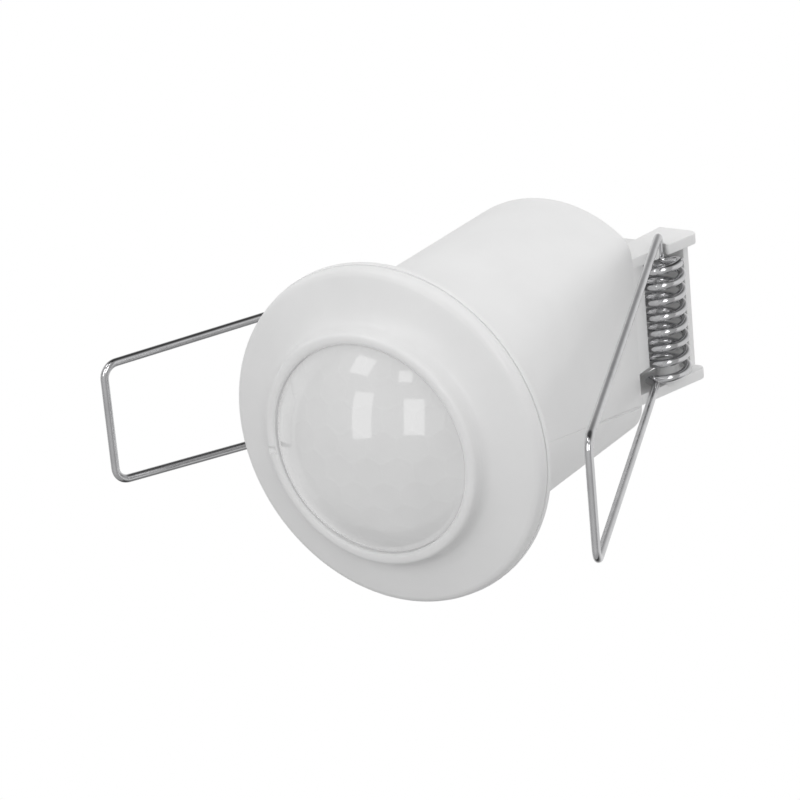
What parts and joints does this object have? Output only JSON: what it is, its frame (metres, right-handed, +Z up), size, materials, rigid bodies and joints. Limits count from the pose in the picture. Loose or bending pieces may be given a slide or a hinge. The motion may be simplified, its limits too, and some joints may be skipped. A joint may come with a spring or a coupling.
{
  "type": "recessed ceiling motion sensor",
  "caption": "Recessed ceiling infrared motion sensor: milky lens dome in a round flange, tubular body, two sprung wire clips that swing to grip the ceiling.",
  "frame": {"origin": "centre of the flange's back face, which lies on the ceiling", "axes": "+Z up into the ceiling along the body's axis, the lens faces -Z; the two wire clips are on +X and -X; the coil axes run along Y; wires enter at +Y and the trimmers are at -Y"},
  "size_m": [0.0836, 0.052, 0.0761],
  "materials": {
    "white_plastic": "fine satin moulding",
    "lens_plastic": "milky translucent polyethylene, smooth outside",
    "spring_wire": "bright plated spring wire",
    "detector_steel": "plated can",
    "filter_window": "dark infrared filter",
    "tinned_pins": "tinned wire",
    "baffle_plastic": "moulded",
    "sensor_epoxy": "clear coat",
    "led_epoxy": "tinted clear",
    "board_laminate": "solder mask",
    "chip_plastic": "moulded",
    "relay_case": "moulded",
    "film_case": "moulded",
    "capacitor_sleeve": "shrink sleeve",
    "varistor_coat": "dipped coat",
    "fuse_glass": "clear tube with plated caps",
    "terminal_plastic": "moulded",
    "clamp_brass": "plain",
    "screw_steel": "zinc plated",
    "trimmer_case": "moulded",
    "knob_plastic": "moulded"
  },
  "bodies": {
    "sensor": {"housing": "white_plastic", "front_bezel": "white_plastic", "lens_retainer": "white_plastic", "terminal_cover": "white_plastic", "lens_dome": "lens_plastic", "infrared_detector": "detector_steel", "detector_window": "filter_window", "detector_pins": "tinned_pins", "light_baffle": "baffle_plastic", "light_sensor": "sensor_epoxy", "indicator_led": "led_epoxy", "sensor_board": "board_laminate", "power_board": "board_laminate", "signal_chip": "chip_plastic", "board_header": "chip_plastic", "relay": "relay_case", "film_capacitor": "film_case", "filter_capacitor": "capacitor_sleeve", "varistor": "varistor_coat", "fuse": "fuse_glass", "terminal_block": "terminal_plastic", "terminal_clamps": "clamp_brass", "terminal_screws": "screw_steel", "cover_screws": "screw_steel", "time_trimmer": "trimmer_case", "light_level_trimmer": "trimmer_case"},
    "right_clip": {"right_clip": "spring_wire", "right_coil": "spring_wire"},
    "left_clip": {"left_clip": "spring_wire", "left_coil": "spring_wire"},
    "time_knob": {"time_knob": "knob_plastic"},
    "light_level_knob": {"light_level_knob": "knob_plastic"}
  },
  "joints": [
    {"name": "right_clip_swing", "type": "hinge", "parent": "sensor", "child": "right_clip", "pos_m": [0.015, 0, 0.0537], "axis": [0, -1, 0], "range_deg": [-6, 135], "stiffness_Nm_per_rad": 0.03, "deforming": ["right_coil"]},
    {"name": "left_clip_swing", "type": "hinge", "parent": "sensor", "child": "left_clip", "pos_m": [-0.015, 0, 0.0537], "axis": [0, 1, 0], "range_deg": [-6, 135], "stiffness_Nm_per_rad": 0.03, "deforming": ["left_coil"]},
    {"name": "time_knob_turn", "type": "hinge", "parent": "sensor", "child": "time_knob", "pos_m": [0.0063, -0.0136, 0.0467], "axis": [0, 0, 1], "range_deg": [-135, 135]},
    {"name": "light_level_knob_turn", "type": "hinge", "parent": "sensor", "child": "light_level_knob", "pos_m": [-0.0063, -0.0136, 0.0467], "axis": [0, 0, 1], "range_deg": [-135, 135]}
  ]
}
